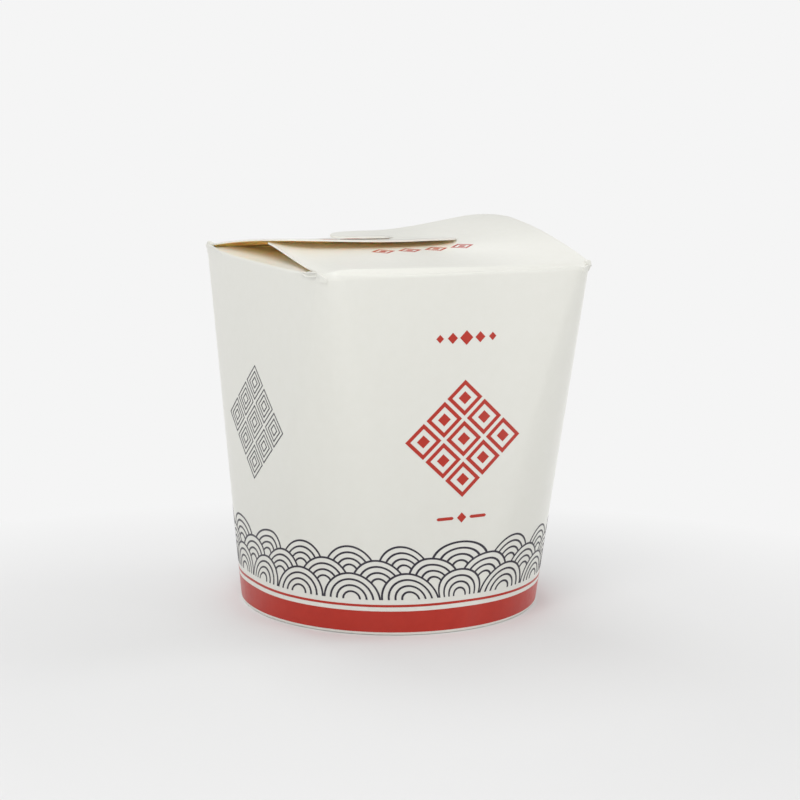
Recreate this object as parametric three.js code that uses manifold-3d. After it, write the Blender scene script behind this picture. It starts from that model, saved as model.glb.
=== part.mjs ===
// Noodle takeaway box: one folded paperboard blank with a round base and a square top.
//
// Millimetres, +Z up. The origin is the centre of the round base, on the surface that the box
// stands on. The front face looks along -Y. The box is shut, so it is solid up to its two side
// flaps; the front and rear flaps lie over them and hook into each other at the middle.
import * as THREE from "three";
import { mergeVertices } from "three/addons/utils/BufferGeometryUtils.js";
import Module from "manifold-3d";

const wasm = await Module();
wasm.setup();

// ---- Wall -----------------------------------------------------------------------------------
const BASE_RADIUS = 45;
const WALL_HEIGHT = 104.4;
const HALF_WIDTH = 43.2; // top, along X, at the ends of a side
const HALF_DEPTH = 46; // top, along Y, at the ends of a side
const CORNER_RADIUS = 6;
const SIDE_BOW = 1.2; // how far the middle of each top side stands out
const BOARD = 0.5; // thickness of the paperboard
const SIDE_STEPS = 6;
const CORNER_STEPS = 10;

// ---- Base -----------------------------------------------------------------------------------
const RIM_THICKNESS = 1.6; // the wall's lower edge is rolled inwards round the base's skirt
const BASE_CEILING = 4.4;
const GAP = 0.3; // between pieces that touch
const ROUND_STEPS = 72;

// ---- Side flaps -----------------------------------------------------------------------------
const SIDE_FLAP_REACH = 32;
const SIDE_FLAP_SLOPE = 0.02; // they dip inwards a little
const RIM_WIDTH = 0.8; // folded edge left standing round the top

// ---- Front and rear flaps -------------------------------------------------------------------
// Both have one outline, drawn here for the front flap: it is hinged along the front, its left
// half ends at the middle of the box, its right half reaches further and carries a hooked tab.
const FLAP_LEFT = -42.8;
const FLAP_RIGHT = 43;
const FLAP_REACH = 15.2; // past the middle
const FREE_CORNER_RADIUS = 11;
const LEFT_CORNER_RADIUS = 6;
const TAB_INNER = 1.8; // the tab's inner edge, past the middle
const TAB_ROUND_X = -9.3; // where the tab's round end starts
const TAB_ROOT_X = -2;
const SLIT_HALF = 0.7;
const SLIT_END_X = 1.2;
const OUTLINE_INSET = 0.1; // keeps the flaps inside the wall's top edge

// How each flap springs up from its fold: the free corner's rise and the distance at which it
// levels off, the rise at the middle, the bulge of the fold, and the slope of the left edge.
const FRONT_RISE = { corner: 10.6, levelsAt: 68, middle: 5, fold: 1.6, leftSlope: 0.163 };
const REAR_RISE = { corner: 9, levelsAt: 101, middle: 4.9, fold: 1.2, leftSlope: 0.155 };
const FOLD_RUN = 2; // distance over which the fold bulges
const LEFT_RUN = 14; // distance over which the left edge starts to rise
const BEVEL_RISE = 2.2; // steep strip along the fold, high at the left and gone at the right
const BEVEL_RUN = 1.9; // its width
const BEVEL_SOFTNESS = 0.06;
const BEVEL_START = 0.03; // share of the fold over which it rises at the left end
const BEVEL_FADE = 16; // distance from the fold at which the flap has lost it again
const LAYER_PITCH = 0.8; // least height between the two flaps where they cross
const LAYER_SOFTNESS = 0.5;
const CROSSING_HALF = 2.5; // half width of the stretch where the two flaps change places

// Grid lines of the flaps, the same distances on both sides of the middle.
const GRID_X = [0, 1.25, 2.5, 6, 11, 17, 24, 31, 38, 44.6];
const GRID_Y = [0, 0.7, 1.6, 3.2, 6, 10, 16.6, 22, 29, 36, 41, 43.5, 45, 46, 47.6];
const FLAP_TOP_LINE = 16.6;

// ---- Corner ears ----------------------------------------------------------------------------
// The board pinches up a little where a fold of the front or rear meets a side fold: into an ear
// at two of the corners, and into a low web at both ends of each side fold.
const EAR_LENGTH = 2.6;
const EAR_RISE = 1.7;
const EAR_ROOT = 2.2;
const EAR_THICKNESS = 0.9;
const EAR_OUTSIDE = 0.85;
const WEB_PLACE = 0.87; // share of half a side fold, from its middle to a web's peak
const WEB_RUN = 5; // length of a web's slope, towards the middle of the fold
const WEB_END = 6; // length of its level part, towards the corner
const WEB_RISE = 1;
const WEB_THICKNESS = 0.6;

const { clamp, smoothstep } = THREE.MathUtils;
const QUARTER = Math.PI / 2;

// ---- Solids ---------------------------------------------------------------------------------

function solidOf(geometry) {
  const bare = geometry.clone();
  bare.deleteAttribute("normal");
  bare.deleteAttribute("uv");
  const merged = mergeVertices(bare);
  return new wasm.Manifold(
    new wasm.Mesh({
      numProp: 3,
      vertProperties: new Float32Array(merged.attributes.position.array),
      triVerts: new Uint32Array(merged.index.array),
    }),
  );
}

function meshOf(name, solid, look) {
  const { vertProperties, triVerts } = solid.getMesh();
  const geometry = new THREE.BufferGeometry();
  geometry.setAttribute("position", new THREE.BufferAttribute(vertProperties, 3));
  geometry.setIndex(new THREE.BufferAttribute(triVerts, 1));
  geometry.computeVertexNormals();
  const mesh = new THREE.Mesh(geometry, new THREE.MeshStandardMaterial({ metalness: 0, ...look }));
  mesh.name = name;
  return mesh;
}

function geometryOf(points, triangles) {
  const geometry = new THREE.BufferGeometry();
  geometry.setAttribute("position", new THREE.Float32BufferAttribute(points.flat(), 3));
  geometry.setIndex(triangles.flat());
  return geometry;
}

function prism(shape, low, high) {
  const options = { depth: high - low, bevelEnabled: false, curveSegments: CORNER_STEPS };
  return new THREE.ExtrudeGeometry(shape, options).translate(0, 0, low);
}

// ---- Wall: a ruled surface from the base circle to the bowed square of the top ---------------

// One side of the top: the point at s, from -1 to 1 along it, and the angle of its normal.
function sidePoint(side, s) {
  const across = side % 2 === 0 ? HALF_WIDTH : HALF_DEPTH;
  const out = side % 2 === 0 ? HALF_DEPTH : HALF_WIDTH;
  const half = across - CORNER_RADIUS;
  const facing = (side - 1) * QUARTER;
  const angle = facing + Math.atan((2 * SIDE_BOW * s) / half);
  const along = half * s;
  const distance = out + SIDE_BOW * (1 - s * s);
  const x = distance * Math.cos(facing) - along * Math.sin(facing);
  const y = distance * Math.sin(facing) + along * Math.cos(facing);
  return { x, y, angle };
}

// The corner after a side: an arc whose centre moves a little, to meet both sides squarely.
function cornerPoint(side, s) {
  const start = sidePoint(side, 1);
  const end = sidePoint(side + 1, -1);
  const angle = start.angle + (end.angle - start.angle) * s;
  const centre = (point) => ({
    x: point.x - CORNER_RADIUS * Math.cos(point.angle),
    y: point.y - CORNER_RADIUS * Math.sin(point.angle),
  });
  const from = centre(start);
  const to = centre(end);
  return {
    x: from.x + (to.x - from.x) * s + CORNER_RADIUS * Math.cos(angle),
    y: from.y + (to.y - from.y) * s + CORNER_RADIUS * Math.sin(angle),
    angle,
  };
}

function topOutline() {
  const points = [];
  for (let side = 0; side < 4; side += 1) {
    for (let step = 0; step < SIDE_STEPS; step += 1) {
      points.push(sidePoint(side, (2 * step) / SIDE_STEPS - 1));
    }
    for (let step = 0; step < CORNER_STEPS; step += 1) {
      points.push(cornerPoint(side, step / CORNER_STEPS));
    }
  }
  return points;
}

function insetShape(inset) {
  return new THREE.Shape(
    topOutline().map(
      ({ x, y, angle }) =>
        new THREE.Vector2(x - inset * Math.cos(angle), y - inset * Math.sin(angle)),
    ),
  );
}

// Each straight line of the wall joins a top point to the base point that faces the same way.
function wallSolid() {
  const outline = topOutline();
  const count = outline.length;
  const lower = outline.map(({ angle }) => [
    BASE_RADIUS * Math.cos(angle),
    BASE_RADIUS * Math.sin(angle),
    0,
  ]);
  const upper = outline.map(({ x, y }) => [x, y, WALL_HEIGHT]);
  const centres = [
    [0, 0, 0],
    [0, 0, WALL_HEIGHT],
  ];
  const triangles = [];
  for (let i = 0; i < count; i += 1) {
    const next = (i + 1) % count;
    triangles.push([i, next, count + next]);
    triangles.push([i, count + next, count + i]);
    triangles.push([2 * count, next, i]);
    triangles.push([2 * count + 1, count + i, count + next]);
  }
  return solidOf(geometryOf([...lower, ...upper, ...centres], triangles));
}

// The space over the two side flaps, which dip from the left and right folds.
function spaceOverSideFlaps() {
  const low = WALL_HEIGHT - SIDE_FLAP_SLOPE * SIDE_FLAP_REACH;
  const edge = HALF_WIDTH - SIDE_FLAP_REACH;
  const outside = 2 * HALF_WIDTH;
  const outsideHeight = WALL_HEIGHT + SIDE_FLAP_SLOPE * HALF_WIDTH;
  const profile = new THREE.Shape([
    new THREE.Vector2(-outside, outsideHeight),
    new THREE.Vector2(-edge, low),
    new THREE.Vector2(edge, low),
    new THREE.Vector2(outside, outsideHeight),
    new THREE.Vector2(outside, 2 * WALL_HEIGHT),
    new THREE.Vector2(-outside, 2 * WALL_HEIGHT),
  ]);
  const trough = prism(profile, -outside, outside).rotateX(QUARTER);
  const inside = prism(insetShape(RIM_WIDTH), WALL_HEIGHT / 2, 1.5 * WALL_HEIGHT);
  return solidOf(trough).intersect(solidOf(inside));
}

// ---- Front and rear flaps -------------------------------------------------------------------

function flapShape() {
  const tabRadius = (FLAP_REACH - TAB_INNER) / 2;
  const outside = -1.1 * HALF_DEPTH;
  const shape = new THREE.Shape();
  shape.moveTo(FLAP_LEFT, outside);
  shape.lineTo(FLAP_RIGHT, outside);
  const cornerX = FLAP_RIGHT - FREE_CORNER_RADIUS;
  const cornerY = FLAP_REACH - FREE_CORNER_RADIUS;
  shape.absarc(cornerX, cornerY, FREE_CORNER_RADIUS, 0, QUARTER, false);
  shape.absarc(TAB_ROUND_X, TAB_INNER + tabRadius, tabRadius, QUARTER, 3 * QUARTER, false);
  shape.lineTo(TAB_ROOT_X, SLIT_HALF);
  shape.absarc(SLIT_END_X, 0, SLIT_HALF, QUARTER, -QUARTER, true);
  const leftX = FLAP_LEFT + LEFT_CORNER_RADIUS;
  const leftY = -SLIT_HALF - LEFT_CORNER_RADIUS;
  shape.absarc(leftX, leftY, LEFT_CORNER_RADIUS, QUARTER, 2 * QUARTER, false);
  shape.closePath();
  return shape;
}

// Rises evenly from 0 to 1 and then stays there, with a soft bend.
function knee(t) {
  const bend = Math.sqrt((t - 1) ** 2 + BEVEL_SOFTNESS);
  return (t - bend + Math.sqrt(1 + BEVEL_SOFTNESS)) / 2;
}

// The steep strip along the fold.
function bevel(x, distance) {
  const share = clamp((x - FLAP_LEFT) / (FLAP_RIGHT - FLAP_LEFT), 0, 1);
  const start = 1 - Math.exp(-share / BEVEL_START);
  return BEVEL_RISE * (1 - share) * start * knee(distance / BEVEL_RUN);
}

// Height of a flap over the wall's top, if the other flap weren't there.
function freeHeight(rise, x, y) {
  const distance = Math.max(y + HALF_DEPTH, 0);
  const right = rise.corner * (1 - (1 - distance / rise.levelsAt) ** 2);
  const bulge = rise.fold * (1 - Math.min((x / FLAP_RIGHT) ** 2, 1));
  const rounded = bulge * (1 - Math.exp(-distance / FOLD_RUN));
  const straight = ((rise.middle - rise.fold) * distance) / HALF_DEPTH;
  const left = rise.leftSlope * distance * (1 - Math.exp(-distance / LEFT_RUN));
  const rightShare = smoothstep(x, 0, FLAP_RIGHT);
  const leftShare = smoothstep(-x, 0, -FLAP_LEFT) * (1 - clamp(y / SLIT_HALF, 0, 1));
  const middleShare = 1 - rightShare - leftShare;
  const near = Math.exp(-((distance / BEVEL_FADE) ** 2));
  const middle = straight + rounded * (1 - near);
  const height = middle * middleShare + right * rightShare + left * leftShare;
  return height + near * bevel(x, distance);
}

// Before the middle of the box the flap runs under the other one, past the middle over it.
function flapHeight(rise, otherRise, x, y) {
  const height = freeHeight(rise, x, y);
  const over = height - freeHeight(otherRise, -x, -y);
  const side = clamp(y / SLIT_HALF, -1, 1);
  const crossing = 1 - smoothstep(x, -CROSSING_HALF, CROSSING_HALF);
  const missing = LAYER_PITCH - over * Math.sign(side);
  const push = 0.5 * (missing + Math.hypot(missing, LAYER_SOFTNESS));
  return height + crossing * push * side;
}

function mirrored(lines) {
  return [...lines.slice(1).map((line) => -line), ...lines].sort((a, b) => a - b);
}

// A curved sheet of board over a grid of lines, with flat cut sides.
function flapSheet(rise, otherRise) {
  const xs = mirrored(GRID_X);
  const ys = mirrored(GRID_Y).filter((y) => y <= FLAP_TOP_LINE);
  const points = [];
  for (const drop of [0, BOARD]) {
    for (const y of ys) {
      for (const x of xs) {
        points.push([x, y, WALL_HEIGHT + flapHeight(rise, otherRise, x, y) - drop]);
      }
    }
  }
  const index = (layer, row, column) => (layer * ys.length + row) * xs.length + column;
  const triangles = [];
  for (let row = 0; row + 1 < ys.length; row += 1) {
    for (let column = 0; column + 1 < xs.length; column += 1) {
      for (const layer of [0, 1]) {
        const quad = [
          index(layer, row, column),
          index(layer, row, column + 1),
          index(layer, row + 1, column + 1),
          index(layer, row + 1, column),
        ];
        if (layer === 1) quad.reverse();
        const [a, b, c, d] = quad;
        // Both layers are split along the same diagonal.
        triangles.push(...(layer === 0 ? [[a, b, c], [a, c, d]] : [[a, b, d], [b, c, d]]));
      }
    }
  }
  const border = [];
  for (let column = 0; column + 1 < xs.length; column += 1) border.push([0, column]);
  for (let row = 0; row + 1 < ys.length; row += 1) border.push([row, xs.length - 1]);
  for (let column = xs.length - 1; column > 0; column -= 1) border.push([ys.length - 1, column]);
  for (let row = ys.length - 1; row > 0; row -= 1) border.push([row, 0]);
  border.forEach(([row, column], place) => {
    const [nextRow, nextColumn] = border[(place + 1) % border.length];
    const top = index(0, row, column);
    const nextTop = index(0, nextRow, nextColumn);
    const bottom = index(1, row, column);
    const nextBottom = index(1, nextRow, nextColumn);
    triangles.push([top, bottom, nextBottom], [top, nextBottom, nextTop]);
  });
  return geometryOf(points, triangles);
}

// A flap, turned half round for the rear one.
function flapSolid(rise, otherRise, turn) {
  const low = WALL_HEIGHT / 2;
  const high = 2 * WALL_HEIGHT;
  const sheet = solidOf(flapSheet(rise, otherRise).rotateZ(turn));
  const outline = solidOf(prism(flapShape(), low, high).rotateZ(turn));
  const wall = solidOf(prism(insetShape(OUTLINE_INSET), low, high));
  return sheet.intersect(outline).intersect(wall);
}

// ---- Corner ears ----------------------------------------------------------------------------

function cornerEar(side) {
  const { x, y, angle } = cornerPoint(side, 0.5);
  const shape = new THREE.Shape();
  shape.moveTo(-EAR_LENGTH, -EAR_ROOT);
  shape.lineTo(0, -EAR_ROOT);
  shape.lineTo(EAR_OUTSIDE, 0);
  shape.lineTo(EAR_OUTSIDE, EAR_RISE / 2);
  shape.lineTo(-EAR_LENGTH / 3, EAR_RISE);
  shape.lineTo(-EAR_LENGTH, 0);
  const ear = prism(shape, -EAR_THICKNESS / 2, EAR_THICKNESS / 2);
  ear.rotateX(QUARTER).rotateZ(angle).translate(x, y, WALL_HEIGHT);
  return solidOf(ear);
}

// The web at an end of a side fold; end is -1 or 1 along the side.
function foldWeb(side, end) {
  const { x, y, angle } = sidePoint(side, end * WEB_PLACE);
  const shape = new THREE.Shape();
  shape.moveTo(-end * WEB_RUN, -EAR_ROOT);
  shape.lineTo(end * WEB_END, -EAR_ROOT);
  shape.lineTo(end * WEB_END, WEB_RISE);
  shape.lineTo(0, WEB_RISE);
  shape.lineTo(-end * WEB_RUN, 0);
  const inwards = WEB_THICKNESS / 2;
  const web = prism(shape, -inwards, inwards);
  web.rotateX(QUARTER).rotateZ(angle + QUARTER);
  web.translate(x - inwards * Math.cos(angle), y - inwards * Math.sin(angle), WALL_HEIGHT);
  return solidOf(web);
}

// ---- Pieces ---------------------------------------------------------------------------------

function carton() {
  const recessRadius = BASE_RADIUS - RIM_THICKNESS;
  const recess = new THREE.CylinderGeometry(
    recessRadius,
    recessRadius,
    2 * BASE_CEILING,
    ROUND_STEPS,
  );
  const body = wallSolid()
    .subtract(spaceOverSideFlaps())
    .subtract(solidOf(recess.rotateX(QUARTER)))
    .add(flapSolid(FRONT_RISE, REAR_RISE, 0))
    .add(flapSolid(REAR_RISE, FRONT_RISE, Math.PI))
    .add(cornerEar(0))
    .add(cornerEar(2))
    .add(foldWeb(1, -1))
    .add(foldWeb(1, 1))
    .add(foldWeb(3, -1))
    .add(foldWeb(3, 1));
  return meshOf("carton", body, { color: 0xe9e8e1, roughness: 0.55 });
}

function baseDisc() {
  const radius = BASE_RADIUS - RIM_THICKNESS - GAP;
  const disc = new THREE.CylinderGeometry(radius, radius, BOARD, ROUND_STEPS);
  disc.rotateX(QUARTER).translate(0, 0, BASE_CEILING - GAP - BOARD / 2);
  return meshOf("base_disc", solidOf(disc), { color: 0xdedcd2, roughness: 0.7 });
}

const group = new THREE.Group();
group.add(carton(), baseDisc());

export default group;
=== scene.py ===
"""Looks of the noodle takeaway box: board, folds, lid flaps, base and print.

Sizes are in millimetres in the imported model's frame, and MM turns them into metres.
"""
import math

import bpy
import numpy as np
from mathutils import Matrix, Vector
from mathutils.geometry import delaunay_2d_cdt


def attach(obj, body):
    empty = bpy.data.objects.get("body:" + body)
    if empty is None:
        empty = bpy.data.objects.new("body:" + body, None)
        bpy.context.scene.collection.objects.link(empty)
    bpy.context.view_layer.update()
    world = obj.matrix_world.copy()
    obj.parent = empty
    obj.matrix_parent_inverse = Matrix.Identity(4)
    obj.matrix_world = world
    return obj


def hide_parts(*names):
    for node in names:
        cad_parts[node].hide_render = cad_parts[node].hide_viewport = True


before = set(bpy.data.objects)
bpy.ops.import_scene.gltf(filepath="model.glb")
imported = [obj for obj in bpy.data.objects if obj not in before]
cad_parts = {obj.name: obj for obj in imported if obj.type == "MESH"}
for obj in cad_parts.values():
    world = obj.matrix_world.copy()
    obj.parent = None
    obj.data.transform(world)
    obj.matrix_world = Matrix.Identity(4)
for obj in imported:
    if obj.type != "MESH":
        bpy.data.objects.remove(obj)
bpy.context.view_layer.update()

MM = 0.001


def add_object(name, data):
    item = bpy.data.objects.new(name, data)
    bpy.context.scene.collection.objects.link(item)
    return item


# ---- Sizes of the box, as in the frame --------------------------------------------------------
BASE_RADIUS = 45.0
WALL_HEIGHT = 104.4
# The top has rounded corners, and its sides bow out in the middle.
HALF_WIDTH = 43.2
HALF_DEPTH = 46.0
CORNER_RADIUS = 6.0
SIDE_BOW = 1.2
BOARD = 0.5  # thickness
SIDE_STEPS = 48
CORNER_STEPS = 24

RIM_THICKNESS = 1.6
DISC_Z = 3.9  # of the base disc's underside
SIDE_FLAP_REACH = 32.0
SIDE_FLAP_SLOPE = 0.02

# The front lid flap from above. Past the slit in the middle its tab lies over the rear flap.
FLAP_LEFT = -42.8
FLAP_RIGHT = 43.0
FLAP_REACH = 15.2  # past the box's middle
FREE_CORNER_RADIUS = 11.0
LEFT_CORNER_RADIUS = 6.0
TAB_INNER = 1.8  # the tab's rounded end goes from here to FLAP_REACH
TAB_ROUND_X = -9.3
TAB_ROOT_X = -2.0
SLIT_HALF = 0.7
SLIT_END_X = 1.2
# A lid flap's rise: at the right up to "corner", at the distance "levels_at" from the fold, and
# at the box's middle "middle", of which "fold" comes at once beside the fold.
FRONT_RISE = {"corner": 10.6, "levels_at": 68.0, "middle": 5.0, "fold": 1.6, "left_slope": 0.163}
REAR_RISE = {"corner": 9.0, "levels_at": 101.0, "middle": 4.9, "fold": 1.2, "left_slope": 0.155}
FOLD_RUN = 2.0  # distance over which "fold" is reached
LEFT_RUN = 14.0  # distance over which "left_slope" sets in
LAYER_PITCH = 0.8  # between the two flaps' faces where a tab lies over the other flap
LAYER_SOFTNESS = 0.5
CROSSING_HALF = 2.5

QUARTER = math.pi / 2


# ---- Camera -----------------------------------------------------------------------------------
# Fitted to the box's edges in the photo, with angles in radians.
CAMERA_AZIMUTH = -0.47139
CAMERA_ELEVATION = 0.17628
CAMERA_ROLL = 0.01262
CAMERA_DISTANCE = 620.531
CAMERA_SIDE = 2.88558
CAMERA_UP = 8.17446
FOCAL_PIXELS = 2045.413
FRAME_PIXELS = 800
SENSOR_MM = 36.0
NEAREST_SEEN = 10.0
FURTHEST_SEEN = 50000.0


def add_camera():
    azimuth, elevation = CAMERA_AZIMUTH, CAMERA_ELEVATION
    back = Vector((
        math.sin(azimuth) * math.cos(elevation),
        -math.cos(azimuth) * math.cos(elevation),
        math.sin(elevation),
    ))
    right = Vector((math.cos(azimuth), math.sin(azimuth), 0.0))
    up = back.cross(right)
    right_turned = math.cos(CAMERA_ROLL) * right + math.sin(CAMERA_ROLL) * up
    up_turned = math.cos(CAMERA_ROLL) * up - math.sin(CAMERA_ROLL) * right
    target = Vector((0.0, 0.0, WALL_HEIGHT / 2))
    place = target + CAMERA_DISTANCE * back + CAMERA_SIDE * right_turned + CAMERA_UP * up_turned
    data = bpy.data.cameras.new("camera")
    data.sensor_width = SENSOR_MM
    data.lens = FOCAL_PIXELS * SENSOR_MM / FRAME_PIXELS
    data.clip_start = NEAREST_SEEN * MM
    data.clip_end = FURTHEST_SEEN * MM
    camera = add_object("camera", data)
    turn = Matrix((right_turned, up_turned, back)).transposed().to_4x4()
    camera.matrix_world = Matrix.Translation(place * MM) @ turn
    bpy.context.scene.camera = camera


add_camera()


# ---- Wall surface: straight lines from the base circle to the bowed square of the top ---------
def side_point(side, s):
    """x, y and facing of the top's outline at s from -1 to 1 along a side. Side 0 is the front."""
    across, out = (HALF_WIDTH, HALF_DEPTH) if side % 2 == 0 else (HALF_DEPTH, HALF_WIDTH)
    half = across - CORNER_RADIUS
    facing = (side - 1) * QUARTER
    angle = facing + math.atan(2 * SIDE_BOW * s / half)
    along, distance = half * s, out + SIDE_BOW * (1 - s * s)
    x = distance * math.cos(facing) - along * math.sin(facing)
    y = distance * math.sin(facing) + along * math.cos(facing)
    return x, y, angle


def corner_point(side, s):
    """The same at s from 0 to 1 round the corner after that side."""
    start, end = side_point(side, 1), side_point(side + 1, -1)
    angle = start[2] + (end[2] - start[2]) * s
    centres = [
        (p[0] - CORNER_RADIUS * math.cos(p[2]), p[1] - CORNER_RADIUS * math.sin(p[2]))
        for p in (start, end)
    ]
    x = centres[0][0] + (centres[1][0] - centres[0][0]) * s + CORNER_RADIUS * math.cos(angle)
    y = centres[0][1] + (centres[1][1] - centres[0][1]) * s + CORNER_RADIUS * math.sin(angle)
    return x, y, angle


def make_stations():
    points = []
    for side in range(4):
        points += [side_point(side, 2 * i / SIDE_STEPS - 1) for i in range(SIDE_STEPS)]
        points += [corner_point(side, i / CORNER_STEPS) for i in range(CORNER_STEPS)]
    return np.array(points)


STATIONS = make_stations()
STATION_COUNT = len(STATIONS)
SIDE_SPAN = SIDE_STEPS + CORNER_STEPS  # stations from one side's start to the next one's
HALF_ROUND = 2 * SIDE_SPAN


def run_along_top():
    """The distance from the first station to each one, and at the end all the way round."""
    closed = np.vstack([STATIONS[:, :2], STATIONS[:1, :2]])
    return np.concatenate([[0.0], np.cumsum(np.hypot(*np.diff(closed, axis=0).T))])


def three_rounds(values, step):
    return np.concatenate([values - step, values, values + step])


# Tables over three rounds of the box, so that a place can be looked up past the first station.
PLACES = np.arange(-STATION_COUNT, 2 * STATION_COUNT)
TOP_X = np.tile(STATIONS[:, 0], 3)
TOP_Y = np.tile(STATIONS[:, 1], 3)
FACING = three_rounds(STATIONS[:, 2], 2 * math.pi)
TOP_RUN = run_along_top()
TOP_LENGTH = TOP_RUN[-1]
TOP_ALONG = three_rounds(TOP_RUN[:-1] - TOP_RUN[SIDE_STEPS // 2], TOP_LENGTH)
BASE_ALONG = BASE_RADIUS * (FACING + QUARTER)


def facing_at(place):
    return np.interp(place, PLACES, FACING)


def top_at(place):
    return np.interp(place, PLACES, TOP_X), np.interp(place, PLACES, TOP_Y)


def outward_at(places):
    """Level unit vectors out of the wall."""
    facing = facing_at(places)
    return np.column_stack([np.cos(facing), np.sin(facing), np.zeros(len(places))])


# The glued seam at the rear: the outer layer starts here and lies on the inner one.
SEAM_PLACE = HALF_ROUND + SIDE_STEPS - 3.0  # just before the rear left corner
SEAM_STEP = 0.3
SEAM_FADE = 14.0  # stations
SEAM_CLEFT = 0.02  # stations

# Slow waves of the board, which isn't perfectly flat:
# (waves round the box, their phase, pitch up the wall, its phase, height)
WAVES = [(3, 0.9, 0.020, 0.6, 0.10), (5, 2.1, 0.034, 1.9, 0.07), (8, 4.4, 0.051, 0.2, 0.045)]


def unevenness(facing, z):
    total = 0.0
    for turns, phase, pitch, start, height in WAVES:
        total = total + height * np.sin(turns * facing + phase) * np.sin(pitch * z + start)
    return total * np.sin(np.clip(z / WALL_HEIGHT, 0, 1) * math.pi)


def seam_rise(place):
    past = np.mod(place - SEAM_PLACE, STATION_COUNT)
    return np.where(past < SEAM_FADE, SEAM_STEP * (1 - past / SEAM_FADE), 0.0)


def wall_point(place, z, out=0.0):
    """The points of the wall at stations and heights, moved outwards."""
    share = z / WALL_HEIGHT
    facing = facing_at(place)
    x_top, y_top = top_at(place)
    nx, ny = np.cos(facing), np.sin(facing)
    x = (1 - share) * BASE_RADIUS * nx + share * x_top
    y = (1 - share) * BASE_RADIUS * ny + share * y_top
    lean = ((x_top * nx + y_top * ny) - BASE_RADIUS) / WALL_HEIGHT
    out = out + unevenness(facing, z) + seam_rise(place)
    level = out / np.sqrt(1 + lean * lean)
    return np.stack([x + nx * level, y + ny * level, z - lean * level], axis=-1)


def place_at(s, z):
    """The stations at distances s along the wall from the middle of the front, at heights z."""
    found = np.empty(s.shape)
    for i in np.ndindex(s.shape):
        share = z[i] / WALL_HEIGHT
        found[i] = np.interp(s[i], (1 - share) * BASE_ALONG + share * TOP_ALONG, PLACES)
    return found


# ---- Meshes -----------------------------------------------------------------------------------
class Builder:
    """Collects the points and faces of one piece."""

    def __init__(self):
        self.points = []
        self.faces = []
        self.kinds = []  # each face's place in the piece's list of materials

    def add_points(self, points):
        first = len(self.points)
        self.points.extend(np.asarray(points, float).reshape(-1, 3))
        return first

    def add_face(self, face, kind=0):
        self.faces.append(tuple(int(i) for i in face))
        self.kinds.append(kind)

    def add_bar(self, rings):
        """A bar closed at both ends, through rings with the same number of points."""
        rows, columns = len(rings), len(rings[0])
        first = self.add_points(rings)
        index = first + np.arange(rows * columns).reshape(rows, columns)
        for ring, following in zip(index, index[1:]):
            for j in range(columns):
                k = (j + 1) % columns
                self.add_face((ring[j], following[j], following[k], ring[k]))
        self.add_face(index[0])
        self.add_face(index[-1, ::-1])

    def piece(self, name, materials, slot, sharp_angle=40.0):
        mesh = bpy.data.meshes.new(name)
        mesh.from_pydata([tuple(p) for p in np.asarray(self.points) * MM], [], self.faces)
        for material in materials:
            mesh.materials.append(material)
        mesh.polygons.foreach_set("material_index", self.kinds)
        mesh.validate()
        mesh.shade_smooth()
        mesh.set_sharp_from_angle(angle=math.radians(sharp_angle))
        piece = add_object(name, mesh)
        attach(piece, "root")
        return piece


# ---- Materials --------------------------------------------------------------------------------
def new_material(name):
    material = bpy.data.materials.new(name)
    material.use_nodes = True
    nodes = material.node_tree.nodes
    return material, nodes, material.node_tree.links, nodes["Principled BSDF"]


def noise(nodes, links, coordinates, scale, detail, roughness=0.5):
    node = nodes.new("ShaderNodeTexNoise")
    node.inputs["Scale"].default_value = scale
    node.inputs["Detail"].default_value = detail
    node.inputs["Roughness"].default_value = roughness
    links.new(coordinates, node.inputs["Vector"])
    return node.outputs["Fac"]


def spread(nodes, links, value, low, high, from_low=0.3, from_high=0.7):
    node = nodes.new("ShaderNodeMapRange")
    node.inputs["From Min"].default_value = from_low
    node.inputs["From Max"].default_value = from_high
    node.inputs["To Min"].default_value = low
    node.inputs["To Max"].default_value = high
    links.new(value, node.inputs["Value"])
    return node.outputs["Result"]


def mix_colours(nodes, links, share, first, second):
    node = nodes.new("ShaderNodeMix")
    node.data_type = "RGBA"
    links.new(share, node.inputs["Factor"])
    node.inputs["A"].default_value = (*first, 1.0)
    node.inputs["B"].default_value = (*second, 1.0)
    return node.outputs["Result"]


def bump(nodes, links, heights, shader):
    """heights is a list of (value, metres)."""
    last = None
    for value, metres in heights:
        node = nodes.new("ShaderNodeBump")
        node.inputs["Strength"].default_value = 1.0
        node.inputs["Distance"].default_value = metres
        links.new(value, node.inputs["Height"])
        if last is not None:
            links.new(last, node.inputs["Normal"])
        last = node.outputs["Normal"]
    links.new(last, shader.inputs["Normal"])


STREAKS = 0.85
UPWARDS = 0.25  # of a turn
MOTTLE_SCALE = 0.12  # shares of the grain's scale
FELT_SCALE = 0.25
FELT_HEIGHT = 2.0  # times the grain's height
SHEEN_SPREAD = 0.04
LIGHT_RADIUS = (1.0, 0.52, 0.42)  # red goes furthest through the board
LIGHT_REACH = 8 * BOARD


def add_streaks(nodes, links, shader):
    """Sheen drawn out upwards, as on board that was pressed between rollers."""
    shader.inputs["Anisotropic"].default_value = STREAKS
    shader.inputs["Anisotropic Rotation"].default_value = UPWARDS
    tangent = nodes.new("ShaderNodeTangent")
    tangent.direction_type = "RADIAL"
    tangent.axis = "Z"
    links.new(tangent.outputs["Tangent"], shader.inputs["Tangent"])


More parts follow.
